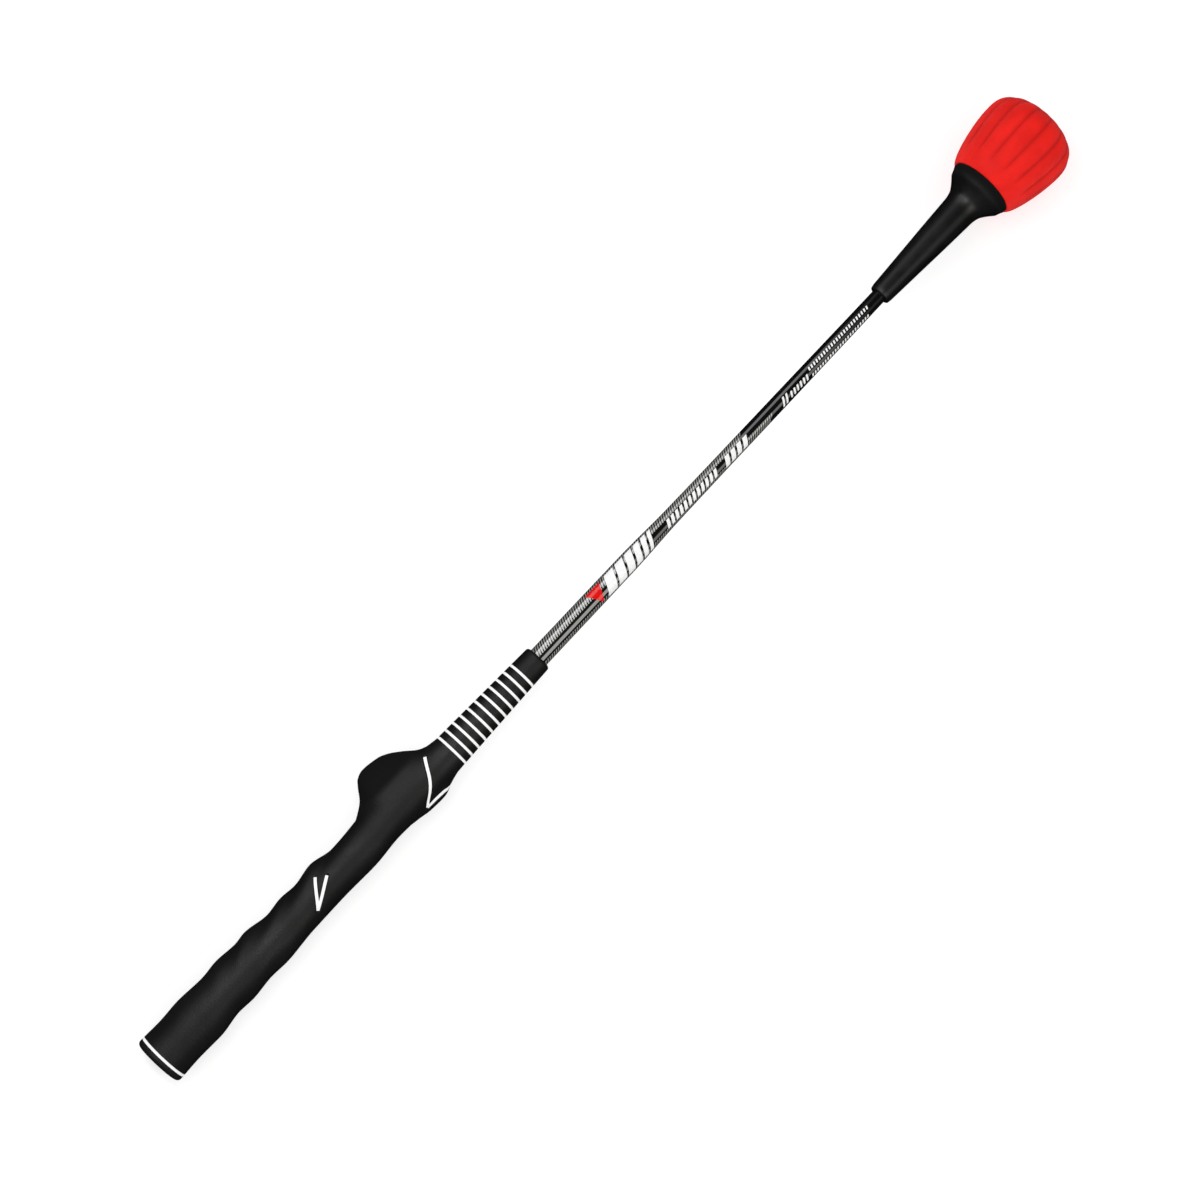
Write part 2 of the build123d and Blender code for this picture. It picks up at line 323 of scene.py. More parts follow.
# ---------------------------------------------------------------- materials
class Shader:
    """A Principled material with short calls to add and link nodes."""

    def __init__(self, name, **settings):
        self.material = bpy.data.materials.new(name)
        self.material.use_nodes = True
        self.tree = self.material.node_tree
        self.principled = self.tree.nodes["Principled BSDF"]
        for socket, value in settings.items():
            self.principled.inputs[socket.replace("_", " ")].default_value = value

    def node(self, kind, values=None, **settings):
        """New node with its sockets linked or set from values, and its own settings."""
        node = self.tree.nodes.new(kind)
        for key, value in settings.items():
            setattr(node, key, value)
        for socket, value in (values or {}).items():
            if isinstance(value, bpy.types.NodeSocket):
                self.tree.links.new(value, node.inputs[socket])
            else:
                node.inputs[socket].default_value = value
        return node

    def feed(self, socket, output):
        self.tree.links.new(output, self.principled.inputs[socket])

    def place(self):
        """Object coordinates, in metres."""
        return self.node("ShaderNodeTexCoord").outputs["Object"]

    def coordinate(self, axis):
        """Object coordinate X, Y or Z, in metres."""
        return self.node("ShaderNodeSeparateXYZ", {"Vector": self.place()}).outputs[axis]

    def noise(self, size_mm, detail=2.0, roughness=0.5):
        """Noise whose patches are about size_mm across."""
        values = {"Vector": self.place(), "Scale": 1000 / size_mm, "Detail": detail}
        node = self.node("ShaderNodeTexNoise", {**values, "Roughness": roughness})
        return node.outputs["Fac"]

    def ramp(self, value, low, high, start=0.0, end=1.0):
        """Number that goes from start to end as value goes from low to high."""
        values = {"Value": value, "From Min": low, "From Max": high, "To Min": start, "To Max": end}
        return self.node("ShaderNodeMapRange", values, interpolation_type="SMOOTHSTEP").outputs["Result"]

    def along(self, axis, low, high):
        """0 before low and 1 after high, in millimetres along an object axis."""
        return self.ramp(self.coordinate(axis), low * MM, high * MM)

    def math(self, operation, a, b=0.0):
        return self.node("ShaderNodeMath", {0: a, 1: b}, operation=operation).outputs["Value"]

    def mix(self, share, a, b):
        """Colour between a and b."""
        return self.node("ShaderNodeMix", {0: share, 6: a, 7: b}, data_type="RGBA").outputs[2]

    def bump(self, height, depth_mm, strength=1.0):
        values = {"Height": height, "Distance": depth_mm * MM, "Strength": strength}
        return self.node("ShaderNodeBump", values).outputs["Normal"]


def grey(value, tint=(1, 1, 1)):
    return (value * tint[0], value * tint[1], value * tint[2], 1)


def rubber(name, dark, light, grain_mm, relief_mm, roughness, level):
    """Moulded rubber with a fine pebbled grain and faint handling marks; the thumb ledge is rougher and
    has painted shade, a darker colour.
    """
    shader = Shader(name, Specular_IOR_Level=level)
    ledge = shader.along("Y", *LEDGE_DULL_AND_SHADED)
    cells = shader.node("ShaderNodeTexVoronoi", {"Vector": shader.place(), "Scale": 1000 / grain_mm})
    pebbles = shader.ramp(cells.outputs["Distance"], 0.1, 0.75, 1.0, 0.0)
    fine = shader.noise(grain_mm / 3)
    height = shader.math("ADD", pebbles, shader.math("MULTIPLY", fine, 0.4))
    shader.feed("Normal", shader.bump(height, relief_mm))
    worn = shader.noise(24, detail=5)
    handled = shader.mix(shader.ramp(worn, 0.35, 0.7), dark, light)
    # Painted shade: over the thumb ledge the colour turns darker, towards near black.
    shader.feed("Base Color", shader.mix(ledge, handled, grey(0.0025)))
    polish = shader.ramp(worn, 0.3, 0.7, roughness + 0.05, roughness - 0.05)
    shader.feed("Roughness", shader.math("ADD", polish, shader.math("MULTIPLY", ledge, 0.45)))
    return shader.material


def paint(name, colour, shade, level=0.35, coat=0.0):
    """Thin opaque paint or pad print, a little uneven, under a coat of lacquer on the shaft."""
    shader = Shader(name, Specular_IOR_Level=level, Coat_Weight=coat, Coat_Roughness=0.07)
    uneven = shader.noise(1.2, detail=3)
    shader.feed("Base Color", shader.mix(shader.ramp(uneven, 0.3, 0.75), colour, shade))
    shader.feed("Roughness", shader.ramp(uneven, 0.3, 0.7, 0.42, 0.55))
    shader.feed("Normal", shader.bump(shader.noise(0.5), 0.03))
    return shader.material


def neck_plastic():
    """Satin black moulding with a fine spark-eroded texture, rougher at the rim and darker there with
    painted shade.
    """
    shader = Shader("neck_plastic", Specular_IOR_Level=0.4)
    rim = shader.along("X", *RIM_DULL_AND_SHADED)
    worn = shader.noise(15, detail=4)
    satin = shader.mix(shader.ramp(worn, 0.35, 0.7), grey(0.0035), grey(0.006))
    # Painted shade: the rim's colour is darkened towards near black.
    shader.feed("Base Color", shader.mix(rim, satin, grey(0.0015)))
    polish = shader.ramp(worn, 0.3, 0.7, 0.3, 0.4)
    shader.feed("Roughness", shader.math("ADD", polish, shader.math("MULTIPLY", rim, 0.6)))
    shader.feed("Normal", shader.bump(shader.noise(0.45, detail=3), 0.03))
    return shader.material


def cover_rubber():
    """Soft matte red rubber, deeper in tone where it varies, with painted shade in the hollows and
    creases between the ribs.
    """
    shader = Shader("cover_rubber", Specular_IOR_Level=0.12)
    worn = shader.noise(12, detail=4)
    deep = (0.68, 0.009, 0.006, 1)
    bright = (0.80, 0.013, 0.009, 1)
    shaded = (0.40, 0.004, 0.003, 1)
    rubbed = shader.mix(shader.ramp(worn, 0.3, 0.7), deep, bright)
    # Painted shade: a broad darkening towards each crease between the ribs and a thin dark line along
    # it, from CREASES_SHADED on.
    turn = shader.math("ARCTAN2", shader.coordinate("Z"), shader.coordinate("Y"))
    turn = shader.math("SUBTRACT", turn, RIB_TURN)
    wave = shader.math("ABSOLUTE", shader.math("SINE", shader.math("MULTIPLY", turn, RIB_COUNT / 2)))
    hollow_shade = shader.ramp(wave, 0.0, 0.7, 0.4, 0.0)
    line = shader.ramp(wave, 0.0, 0.14, 0.35, 0.0)
    ribbed = shader.along("X", *CREASES_SHADED)
    crease_shade = shader.math("MULTIPLY", shader.math("ADD", hollow_shade, line), ribbed)
    shader.feed("Base Color", shader.mix(crease_shade, rubbed, shaded))
    shader.feed("Roughness", shader.ramp(worn, 0.3, 0.7, 0.55, 0.66))
    shader.feed("Normal", shader.bump(shader.noise(0.7, detail=4), 0.05))
    return shader.material


# Woven pattern of the shaft. Places are in millimetres along it, and turns in degrees from the top.
WEAVE_PITCH = 1.5
WEAVE_ROW = 1.5
WEAVE_RADIUS = 4.6
WEAVE_END_TOP = 413.0
WEAVE_END_SIDE = 436.6
WEAVE_END_SLANT = 0.075
SIDE_START = 15.0
STRIPE_EDGES = (-2.0, 43.0)
STRIPE_EDGES_AHEAD = (-12.0, 41.0)
STRIPE_SHIFT = (300, 350)
PATCH_START = (417, 418)
PATCH_EDGE = (11, 13)
GLOSS_FADE = (455, 505)


def shaft_lacquer():
    """Black lacquered tube with rows of silver dashes beside a plain black stripe.

    The stripe shifts over STRIPE_SHIFT. The weave ends earlier on the top than on the side, and a last
    patch of it covers the stripe. The gloss fades towards the neck.
    """
    shader = Shader("shaft_lacquer", Specular_IOR_Level=0.2, Coat_Roughness=0.07, Coat_IOR=2.0)
    chart = shader.node("ShaderNodeUVMap", uv_map="wrap").outputs["UV"]
    axes = shader.node("ShaderNodeSeparateXYZ", {"Vector": chart})
    x = shader.math("MULTIPLY", axes.outputs["X"], 1000.0)
    turn = shader.math("MULTIPLY", axes.outputs["Y"], 360.0)

    row = shader.math("MULTIPLY", turn, radians(1) * WEAVE_RADIUS / WEAVE_ROW)
    across = shader.math("FRACT", row)
    shift = shader.math("MULTIPLY", shader.math("FLOOR", row), 0.5)
    slant = shader.math("ADD", shader.math("MULTIPLY", across, 0.5), shift)
    along = shader.math("ADD", shader.math("DIVIDE", x, WEAVE_PITCH), slant)
    dash = shader.ramp(shader.math("SINE", shader.math("MULTIPLY", along, 2 * pi)), -0.4, 0.3)
    edge = shader.math("ABSOLUTE", shader.math("SUBTRACT", across, 0.5))
    thread = shader.math("MULTIPLY", dash, shader.ramp(edge, 0.36, 0.5, 1.0, 0.15))

    upper_edge, lower_edge = [
        shader.ramp(x, *STRIPE_SHIFT, near, ahead)
        for near, ahead in zip(STRIPE_EDGES, STRIPE_EDGES_AHEAD)
    ]
    above = shader.ramp(shader.math("SUBTRACT", upper_edge, turn), -0.8, 0.8)
    below = shader.ramp(shader.math("SUBTRACT", turn, lower_edge), -0.8, 0.8)
    beside = shader.math("MAXIMUM", above, below)
    side = shader.math("GREATER_THAN", turn, SIDE_START)
    longer = shader.math("MULTIPLY", side, WEAVE_END_SIDE - WEAVE_END_TOP)
    end = shader.math("ADD", WEAVE_END_TOP, longer)
    end = shader.math("SUBTRACT", end, shader.math("MULTIPLY", turn, WEAVE_END_SLANT))
    before = shader.ramp(shader.math("SUBTRACT", end, x), -0.2, 0.2)
    last = shader.math("MULTIPLY", shader.ramp(x, *PATCH_START), shader.ramp(turn, *PATCH_EDGE))
    woven = shader.math("MULTIPLY", before, shader.math("MAXIMUM", beside, last))
    silver = shader.math("MULTIPLY", woven, thread)

    shader.feed("Base Color", shader.mix(silver, grey(0.004), (0.46, 0.46, 0.44, 1)))
    shader.feed("Metallic", shader.math("MULTIPLY", silver, 0.45))
    shader.feed("Roughness", shader.ramp(silver, 0, 1, 0.2, 0.4))
    shader.feed("Coat Weight", shader.ramp(x, *GLOSS_FADE, 1.0, 0.05))
    return shader.material


def tape_paper():
    """Yellowish paper with visible fibres."""
    shader = Shader("tape_paper", Specular_IOR_Level=0.3)
    fibres = shader.noise(0.8, detail=5)
    shader.feed("Base Color", shader.mix(fibres, (0.72, 0.68, 0.55, 1), (0.82, 0.79, 0.68, 1)))
    shader.feed("Roughness", shader.ramp(fibres, 0.3, 0.7, 0.7, 0.85))
    shader.feed("Normal", shader.bump(fibres, 0.05))
    return shader.material


def turned_steel():
    """Bright steel with fine turning marks round the axis."""
    mark_pitch = 0.25 * MM
    shader = Shader("turned_steel", Metallic=1.0)
    turns = shader.math("MULTIPLY", shader.coordinate("X"), 2 * pi / mark_pitch)
    marks = shader.math("SINE", turns)
    stain = shader.noise(4, detail=4)
    shader.feed("Base Color", shader.mix(stain, (0.50, 0.50, 0.51, 1), (0.62, 0.62, 0.61, 1)))
    shader.feed("Roughness", shader.ramp(stain, 0.3, 0.7, 0.22, 0.36))
    shader.feed("Normal", shader.bump(marks, 0.01, strength=0.5))
    return shader.material


def cast_iron():
    """Dark iron with the grain of the casting."""
    shader = Shader("cast_iron", Metallic=0.9)
    grain = shader.noise(1.5, detail=6, roughness=0.7)
    shader.feed("Base Color", shader.mix(grain, grey(0.08), grey(0.16, (1, 0.97, 0.93))))
    shader.feed("Roughness", shader.ramp(grain, 0.3, 0.7, 0.5, 0.75))
    shader.feed("Normal", shader.bump(grain, 0.25))
    return shader.material


def core_plastic():
    """Black moulded plastic with faint flow marks."""
    shader = Shader("core_plastic", Specular_IOR_Level=0.5)
    flow = shader.noise(9, detail=4)
    shader.feed("Base Color", shader.mix(flow, grey(0.085), grey(0.12, (0.98, 0.98, 1))))
    shader.feed("Roughness", shader.ramp(flow, 0.3, 0.7, 0.38, 0.5))
    shader.feed("Normal", shader.bump(shader.noise(0.6, detail=3), 0.04))
    return shader.material


MATERIALS = {
    "grip_rubber": rubber("grip_rubber", grey(0.0050), grey(0.0080), 0.6, 0.04, 0.45, 0.3),
    "cap_rubber": rubber("cap_rubber", grey(0.0065), grey(0.0095), 0.5, 0.04, 0.48, 0.3),
    "white_paint": paint("white_paint", grey(0.86), grey(0.93)),
    "white_print": paint("white_print", grey(0.80), grey(0.88), coat=0.5),
    "red_print": paint("red_print", (0.60, 0.003, 0.002, 1), (0.68, 0.005, 0.003, 1), 0.05, coat=0.8),
    "neck_plastic": neck_plastic(),
    "cover_rubber": cover_rubber(),
    "shaft_lacquer": shaft_lacquer(),
    "tape_paper": tape_paper(),
    "turned_steel": turned_steel(),
    "cast_iron": cast_iron(),
    "core_plastic": core_plastic(),
}


def set_material(piece, material):
    piece.data.materials.clear()
    piece.data.materials.append(MATERIALS[material])


def dress(piece, material):
    """Gives a piece its material."""
    set_material(piece, material)
    return piece


# ---------------------------------------------------------------- grip
def ring_zone_radius(x):
    share = (x - RING_ZONE_START) / (GRIP_END - RING_ZONE_START)
    return RING_ZONE_RADIUS + share * (MOUTH_RADIUS - RING_ZONE_RADIUS)


def grip_radius(x, angle):
    """Distance of the grip's skin from the axis; angle 0 faces the thumb ledge."""
    angle = (angle + pi) % (2 * pi) - pi
    side = np.cos(angle)
    lean = profile(LEAN, x)
    thumb = profile(THUMB_BODY, x + lean * (1 - side))
    finger = profile(FINGER_BODY, x - lean * (1 + side))
    top = profile(TOP_BODY, x)
    body = top + (np.where(side > 0, thumb, finger) - top) * side**2
    off_ledge = np.sqrt(angle**2 + LEDGE_EDGE**2) - LEDGE_EDGE
    ledge = profile(LEDGE_HEIGHT, x) * np.exp(-off_ledge / LEDGE_SPREAD)
    web = profile(WEB_HEIGHT, x) * np.exp(-(((pi - np.abs(angle)) / WEB_SPREAD) ** 2))
    return np.where(x < RING_ZONE_START, body + ledge + web, ring_zone_radius(x))


def polar(x, radius, angle):
    """Points at distance radius from the axis."""
    return np.stack(np.broadcast_arrays(x, radius * np.cos(angle), radius * np.sin(angle)), axis=-1)


def on_grip(x, angle, lift=0.0):
    return polar(x, grip_radius(x, angle) + lift, angle)


def shaft_radius(x):
    return profile(SHAFT_OUTLINE, x)


def stroke_line(stroke):
    """Places and angles along a painted stroke on the grip."""
    x = evenly(stroke[0][0], stroke[-1][0], STROKE_STEP)
    return x, np.radians(profile(stroke, x))


def stroke_slab(stroke):
    """Painted stroke that follows the grip's surface a little below it."""
    x, angle = stroke_line(stroke)
    middle = on_grip(x, angle)
    along = np.gradient(middle, axis=0)
    along /= np.linalg.norm(along, axis=1, keepdims=True)
    outward = polar(0.0, 1.0, angle)
    aside = np.cross(outward, along)
    aside /= np.linalg.norm(aside, axis=1, keepdims=True)
    across = np.linspace(-MARK_WIDTH / 2, MARK_WIDTH / 2, 5)
    points = middle[:, None, :] + aside[:, None, :] * across[None, :, None]
    turns = np.arctan2(points[..., 2], points[..., 1])
    places = points[..., 0]
    face = on_grip(places, turns, -PAINT_DEPTH)
    return slab(face, on_grip(places, turns, -GROOVE_DEPTH - MARK_ROOT))


def distance_to_line(points, line):
    """Shortest distance from each point to a line through the given points."""
    nearest = np.full(len(points), np.inf)
    for a, b in zip(line, line[1:]):
        along = b - a
        share = np.clip((points - a) @ along / (along @ along), 0, 1)
        gap = np.linalg.norm(points - a - share[:, None] * along, axis=1)
        nearest = np.minimum(nearest, gap)
    return nearest


def ring_grooves():
    """Start and end of each painted groove round the grip."""
    grooves = [(SLEEVE_START, SLEEVE_START + BUTT_GROOVE_WIDTH)]
    for k in range(RING_COUNT):
        middle = FIRST_RING + k * RING_PITCH
        grooves.append((middle - GROOVE_WIDTH / 2, middle + GROOVE_WIDTH / 2))
    return grooves


def sleeve_places():
    """Places along the grip, closer together at the grooves, the marks and the mouth."""
    lip = GROOVE_LIP
    places = [evenly(SLEEVE_START, RING_ZONE_START, SKIN_STEP)]
    places.append(evenly(RING_ZONE_START, GRIP_END, RING_ZONE_STEP))
    places += [evenly(start, end, MARK_STEP) for start, end in MARK_ZONES]
    places.append(GRIP_END - MOUTH_ROUNDING * (1 - np.sin(np.linspace(0, pi / 2, 9))))
    for start, end in ring_grooves():
        places.append([start - lip, start, start + lip, end - lip, end, end + lip])
    places = np.unique(np.round(np.concatenate(places), 3))
    return places[(places >= SLEEVE_START) & (places <= GRIP_END)]


def groove_cut(x):
    """Depth of the ring grooves at x; the butt's groove is open towards the cap."""
    cut = np.zeros_like(x)
    for start, end in ring_grooves():
        inside = np.minimum(x - start, end - x)
        if start == SLEEVE_START:
            inside = end - x
        cut = np.maximum(cut, GROOVE_DEPTH * np.clip(inside / GROOVE_LIP, 0, 1))
    return cut


def mouth_cut(x):
    """Drop of the rounded mouth at x."""
    into = np.clip(x - (GRIP_END - MOUTH_ROUNDING), 0, MOUTH_ROUNDING)
    return MOUTH_ROUNDING - np.sqrt(np.maximum(MOUTH_ROUNDING**2 - into**2, 0))


def grip_sleeve():
    """Moulded sleeve with its finger grooves, painted grooves, engraved marks and bore."""
    angles = np.arange(SLEEVE_COLUMNS) * 2 * pi / SLEEVE_COLUMNS
    places = sleeve_places()
    x, angle = np.meshgrid(places, angles, indexing="ij")
    skin = on_grip(x, angle, -groove_cut(x) - mouth_cut(x))
    for stroke in HAND_MARK + FINGER_MARK:
        line = on_grip(*stroke_line(stroke))
        low, high = line.min(axis=0) - MARK_MARGIN, line.max(axis=0) + MARK_MARGIN
        near = np.all((skin >= low) & (skin <= high), axis=-1)
        gap = distance_to_line(skin[near], line)
        inner, outer = (MARK_WIDTH / 2 + offset for offset in MARK_EDGE)
        cut = GROOVE_DEPTH * (1 - smoothstep(inner, outer, gap))
        radius = np.linalg.norm(skin[near][:, 1:], axis=1)
        full = grip_radius(x[near], angle[near])
        skin[near] = polar(x[near], np.minimum(radius, full - cut), angle[near])
    bore_places = np.array([GRIP_END, TAPE_END, SHAFT_BUTT, SLEEVE_START])
    x, angle = np.meshgrid(bore_places, angles, indexing="ij")
    bore = polar(x, shaft_radius(x) + TAPE_THICKNESS + 2 * FIT_GAP, angle)
    return ring_loop("grip_sleeve_skin", np.concatenate([skin, bore]), sharp=50)


def groove_rings():
    """White paint in every groove round the grip."""
    parts = []
    for start, end in ring_grooves():
        if start == SLEEVE_START:
            first = last = BUTT_RADIUS - PAINT_DEPTH
        else:
            first, last = (ring_zone_radius(x) - PAINT_DEPTH for x in (start, end))
        outline = [
            (start, first - PAINT_EDGE), (start + PAINT_EDGE, first),
            (end - PAINT_EDGE, last), (end, last - PAINT_EDGE),
            (end, last - GROOVE_DEPTH), (start, first - GROOVE_DEPTH),
        ]
        faces = ring_faces(len(outline), LATHE_COLUMNS, loop=True)
        parts.append((circles(outline).reshape(-1, 3), faces))
    return mesh_piece("groove_paint", *joined(parts))


def mark_paint(name, strokes):
    return mesh_piece(name, *joined([stroke_slab(stroke) for stroke in strokes]), sharp=50)


def end_cap():
    """Butt cap with a rounded edge, a shallow moulded ring and the breather hole."""
    edge = CAP_EDGE_RADIUS
    outline = [(x, VENT_RADIUS + past) for x, past in VENT_EDGE] + CAP_RING
    for turn in np.linspace(0, pi / 2, 9):
        outline.append((edge * (1 - cos(turn)), BUTT_RADIUS - edge * (1 - sin(turn))))
    outline += [
        (SLEEVE_START, BUTT_RADIUS), (SLEEVE_START, SPIGOT_RADIUS), (CAP_END, SPIGOT_RADIUS),
        (CAP_END, VENT_RADIUS),
    ]
    return lathe("end_cap_skin", outline)


# ---------------------------------------------------------------- shaft
def shaft_tube():
    """Tapered tube with a chart that runs along it and round it from the top."""
    columns = SHAFT_COLUMNS
    ends = (SHAFT_BUTT, TAPE_END, NECK_START, SHAFT_TIP)
    stretches = [evenly(*stretch)[1:] for stretch in zip(ends, ends[1:], SHAFT_STEPS)]
    places = np.concatenate([[SHAFT_BUTT], *stretches])
    outer = [(x, shaft_radius(x)) for x in places]
    inner = [(x, shaft_radius(x) - SHAFT_WALL) for x in places[::-1]]
    outline = outer + inner
    tube = ring_loop("shaft_tube", circles(outline, columns))
    chart = tube.data.uv_layers.new(name="wrap")
    for face in tube.data.polygons:
        used = [tube.data.loops[loop].vertex_index for loop in face.loop_indices]
        first = min(vertex % columns for vertex in used)
        wraps = first == 0 and any(vertex % columns == columns - 1 for vertex in used)
        underneath = first >= columns * 3 // 4 or wraps
        for loop, vertex in zip(face.loop_indices, used):
            row, column = divmod(vertex, columns)
            if wraps and column == 0:
                column = columns
            # The top is a quarter turn past the ledge, and the chart's seam lies underneath.
            turn = column / columns - 0.25 - underneath
            chart.data[loop].uv = (outline[row][0] * MM, turn)
    return tube


# Prints reach this far above and below the shaft's surface.
PRINT_LIFT = 0.04


def patch(corners):
    """Thin printed patch on the shaft between four corners of (place, degrees from the top).

    The first two corners are its upper edge; degrees count down the side away from the ledge.
    """
    a, b, c, d = (np.array(corner, float) for corner in corners)
    u = evenly(0, 1, PRINT_DEGREES / abs(d[1] - a[1]))[:, None, None]
    v = np.array([0.0, 0.5, 1.0])[None, :, None]
    grid = (1 - u) * ((1 - v) * a + v * b) + u * ((1 - v) * d + v * c)
    x = grid[..., 0]
    angle = UP + np.radians(grid[..., 1])
    radius = shaft_radius(x)
    return slab(polar(x, radius + PRINT_LIFT, angle), polar(x, radius - PRINT_LIFT, angle))


def slanted_bar(x, width, top, bottom, slant):
    """Slanted bar that starts at x at the bottom; slant is how far its top runs ahead."""
    return patch([(x + slant, top), (x + slant + width, top), (x + width, bottom), (x, bottom)])


def printed(name, parts, material):
    bend(dress(mesh_piece(name, *joined(parts), sharp=60), material))


def bend(piece):
    """Bakes a piece's placement into its mesh."""
    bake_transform(piece)


def pointer():
    """Narrow triangle that points down the side."""
    return [patch([(304.6, -47), (314.6, -47), (310.0, 50), (309.2, 50)])]


def shrinking_bars(start=313.2, gap=1.5):
    """Slanted bars that get narrower towards the head."""
    bars = []
    x = start
    for width in (6.2, 5.4, 4.6, 3.8, 3.0, 2.2):
        bars.append(slanted_bar(x, width, top=-52, bottom=62, slant=5.2))
        x += width + gap
    return bars


def bar_row(count, start, pitch, width, top, bottom, slant):
    """Row of equal slanted bars."""
    return [slanted_bar(start + pitch * k, width, top, bottom, slant) for k in range(count)]


def shaft_prints():
    """Plain marks that stand in for the printed words."""
    printed("print_pointer", pointer(), "red_print")
    printed("print_bars", shrinking_bars(), "white_print")
    dashes = bar_row(12, 357.6, 3.1, width=1.9, top=-8, bottom=46, slant=2.2)
    dashes += bar_row(4, 399.6, 4.3, width=2.9, top=-14, bottom=56, slant=3.0)
    printed("print_dashes", dashes, "white_print")
    fine = bar_row(2, 441.5, 2.4, width=1.2, top=-6, bottom=58, slant=2.6)
    fine += bar_row(6, 447.8, 2.3, width=1.1, top=8, bottom=50, slant=1.3)
    fine += bar_row(24, 463.5, 1.85, width=0.95, top=-18, bottom=6, slant=0.6)
    fine += bar_row(23, 463.0, 1.85, width=0.95, top=38, bottom=62, slant=0.6)
    printed("print_fine", fine, "white_print")


# ---------------------------------------------------------------- neck
def neck():
    """Flared moulding with a rounded lip on the shaft and a rounded rim at the head."""
    rim_start = NECK_END - NECK_RIM_WIDTH
    flange_start = NECK_END - FLANGE_THICKNESS
    rounding = NECK_RIM_ROUNDING
    lip = [(NECK_START + past, radius) for past, radius in NECK_LIP]
    places = evenly(NECK_OUTLINE[0][0], NECK_OUTLINE[-1][0], 1.0)
    flare = [(x, float(profile(NECK_OUTLINE, x))) for x in places]
    rim = [(rim_start + past, RIM_RADIUS - drop) for past, drop in NECK_RIM]
    for turn in np.linspace(0, pi / 2, 5):
        rim.append((NECK_END - rounding * (1 - sin(turn)), RIM_RADIUS - rounding * (1 - cos(turn))))
    bored = [
        (NECK_END, FLANGE_RADIUS), (flange_start, FLANGE_RADIUS), (flange_start, SOCKET_RADIUS),
        (SOCKET_START, SOCKET_RADIUS), (SOCKET_START, shaft_radius(SOCKET_START)),
        (NECK_START, shaft_radius(NECK_START)),
    ]
    bore = [(x, radius + FIT_GAP) for x, radius in bored]
    return lathe("neck_skin", lip + flare + rim + bore, sharp=45)


# ---------------------------------------------------------------- head
def head_points(count, inset=0.0):
    """(place, radius) along the bowl and the crown, two superellipse quarters."""
    widest = HEAD_RADIUS - inset
    mouth = BOWL_RADIUS - inset
    tip = CROWN_TIP - inset
    points = []
    for turn in np.linspace(0, pi / 2, count, endpoint=False):
        x = HEAD_WIDEST - (HEAD_WIDEST - BOWL_START) * cos(turn) ** (2 / BOWL_POWER)
        points.append((x, mouth + (widest - mouth) * sin(turn) ** (2 / BOWL_POWER)))
    for turn in np.linspace(0, pi / 2, count, endpoint=False):
        x = HEAD_WIDEST + (tip - HEAD_WIDEST) * sin(turn) ** (2 / CROWN_POWER)
        points.append((x, widest * cos(turn) ** (2 / CROWN_POWER)))
    return points


def head_cover():
    """Rubber shell: convex ribs that meet in creases and fade out towards the neck."""
    columns = RIB_COUNT * POINTS_PER_RIB
    angle = RIB_TURN + np.arange(columns) * 2 * pi / columns
    lobe = np.abs(np.sin(RIB_COUNT / 2 * (angle - RIB_TURN)))
    outer = []
    for x, smooth in head_points(COVER_ROWS):
        fade = float(profile(RIB_FADE, x))
        radius = smooth - RIB_DEPTH * fade * (1 - lobe) * smooth / HEAD_RADIUS
        outer.append(polar(x, radius, angle))
    inner = [polar(x, r, angle) for x, r in head_points(COVER_INNER_ROWS, COVER_THICKNESS)]
    vertices = np.concatenate(outer + inner).tolist()

    under = len(outer) * columns
    faces = ring_faces(len(outer), columns, loop=False)
    faces += ring_faces(len(inner), columns, loop=False, first=under)
    last_rings = (under - columns, len(vertices) - columns)
    for base, pole in zip(last_rings, (CROWN_TIP, CROWN_TIP - COVER_THICKNESS)):
        tip = len(vertices)
        vertices.append((pole, 0, 0))
        faces += [(tip, base + k, base + (k + 1) % columns) for k in range(columns)]
    for k in range(columns):
        after = (k + 1) % columns
        faces.append((k, after, under + after, under + k))
    return mesh_piece("head_cover_skin", vertices, faces, sharp=60)


# ---------------------------------------------------------------- assembly
def place(piece, material, body, node=None):
    dress(piece, material)
    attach(piece, body)
    if node:
        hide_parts(node)


place(grip_sleeve(), "grip_rubber", "handle", "grip_sleeve")
place(end_cap(), "cap_rubber", "handle", "end_cap")
place(groove_rings(), "white_paint", "handle")
place(mark_paint("hand_mark", HAND_MARK), "white_paint", "handle")
place(mark_paint("finger_mark", FINGER_MARK), "white_paint", "handle")
place(neck(), "neck_plastic", "head", "neck")
place(head_cover(), "cover_rubber", "head", "head_cover")

tube = dress(shaft_tube(), "shaft_lacquer")
bend(tube)
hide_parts("shaft")
shaft_prints()

KEPT_NODES = {
    "grip_tape": "tape_paper",
    "shaft_stud": "turned_steel",
    "washer": "turned_steel",
    "lock_nut": "turned_steel",
    "head_weight": "cast_iron",
    "head_core": "core_plastic",
    "core_lid": "core_plastic",
}
for node, material in KEPT_NODES.items():
    set_material(frame["nodes"][node], material)


# ---------------------------------------------------------------- studio, in metres
SOFTBOX_DISTANCE = 1.0
WARM = (1, 0.97, 0.92)
FLOOR_HALF = 4.0
FLOOR_GAP = 0.0002
BUTT_REST = 0.02
FLOOR_GLOW = 0.6
SKY_STRENGTH = 0.58
CAMERA_TILT = radians(6.4)
CAMERA_ROLL = radians(46.78)
CAMERA_TARGET = (0.30905, -0.00255, 0)
CAMERA_DISTANCE = 1.45
CAMERA_LENS = 88.5


def softbox(name, side, radiance, middle, length, width=0.62, colour=(1, 1, 1)):
    """Softbox parallel to the stick, side degrees round it from straight above towards the ledge."""
    turn = radians(side)
    data = bpy.data.lights.new(name, "AREA")
    data.shape = "RECTANGLE"
    data.size, data.size_y = length, width
    data.energy = radiance * pi * length * width
    data.color = colour
    light = add_object(name, data)
    light.location = (middle, SOFTBOX_DISTANCE * sin(turn), SOFTBOX_DISTANCE * cos(turn))
    light.rotation_euler = (-turn, 0, 0)


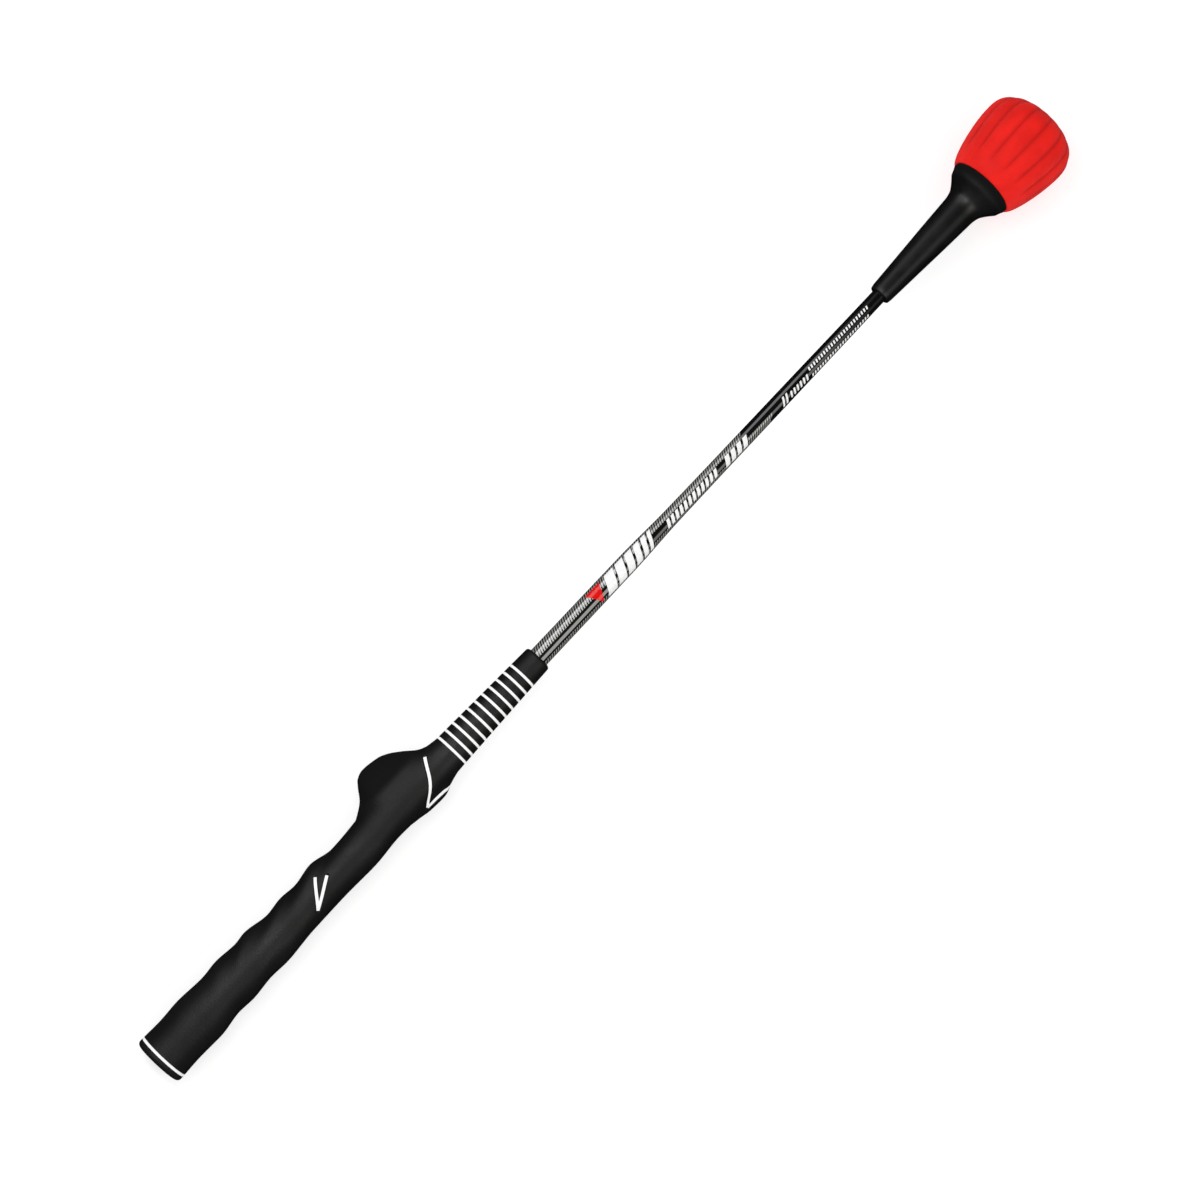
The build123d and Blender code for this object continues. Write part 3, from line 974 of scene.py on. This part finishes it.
def floor():
    """Pale floor that the stick lies on, touching the head and the butt."""
    head_low, butt_low = -HEAD_RADIUS * MM, -BUTT_RADIUS * MM
    slope = (head_low - butt_low) / (HEAD_WIDEST * MM - BUTT_REST)
    half = FLOOR_HALF
    corners = [(-half, -half), (half, -half), (half, half), (-half, half)]
    points = [(x, y, butt_low + slope * (x - BUTT_REST) - FLOOR_GAP) for x, y in corners]
    mesh = bpy.data.meshes.new("floor")
    mesh.from_pydata(points, [], [(0, 1, 2, 3)])
    piece = add_object("floor", mesh)
    shader = Shader("floor_white", Roughness=0.9, Specular_IOR_Level=0.1)
    shader.feed("Base Color", shader.mix(shader.noise(60, detail=3), grey(0.48), grey(0.52)))
    shader.principled.inputs["Emission Color"].default_value = (1, 1, 1, 1)
    shader.principled.inputs["Emission Strength"].default_value = FLOOR_GLOW
    mesh.materials.append(shader.material)
    piece.visible_glossy = False


def camera():
    """Looks down on the stick, which runs up to the right and away by a few degrees."""
    tilt, roll = CAMERA_TILT, CAMERA_ROLL
    along = Vector((cos(tilt), 0, sin(tilt)))
    back = Vector((-sin(tilt), 0, cos(tilt)))
    aside = Vector((0, 1, 0))
    right = along * cos(roll) - aside * sin(roll)
    up = along * sin(roll) + aside * cos(roll)
    data = bpy.data.cameras.new("camera")
    data.lens = CAMERA_LENS
    data.sensor_width = 36
    data.clip_start, data.clip_end = 0.05, 50
    viewer = add_object("camera", data)
    matrix = Matrix((right, up, back)).transposed().to_4x4()
    matrix.translation = Vector(CAMERA_TARGET) + back * CAMERA_DISTANCE
    viewer.matrix_world = matrix
    bpy.context.scene.camera = viewer


def world():
    """Even pale light from all round that glossy surfaces don't mirror."""
    sky = bpy.data.worlds.new("sky")
    sky.use_nodes = True
    background = sky.node_tree.nodes["Background"]
    background.inputs["Color"].default_value = (1, 1, 1, 1)
    background.inputs["Strength"].default_value = SKY_STRENGTH
    bpy.context.scene.world = sky
    sky.cycles_visibility.glossy = False


softbox("ledge_strip_near", side=46, radiance=2.6, middle=0.32, length=0.28)
softbox("ledge_strip_far", side=47, radiance=1.15, middle=0.62, length=0.32)
softbox("finger_strip_near", side=-44, radiance=2.6, middle=0.32, length=0.28, colour=WARM)
softbox("finger_strip_far", side=-46, radiance=1.1, middle=0.62, length=0.32, colour=WARM)
softbox("ledge_panel", side=28, radiance=0.75, middle=0.03, length=0.56, width=0.85)
softbox("finger_panel", side=-24, radiance=0.75, middle=0.03, length=0.56, width=0.75)
softbox("top_near", side=13, radiance=8.0, middle=0.24, length=0.18, width=0.5)
floor()
camera()
world()
bpy.context.scene.view_settings.view_transform = "Standard"
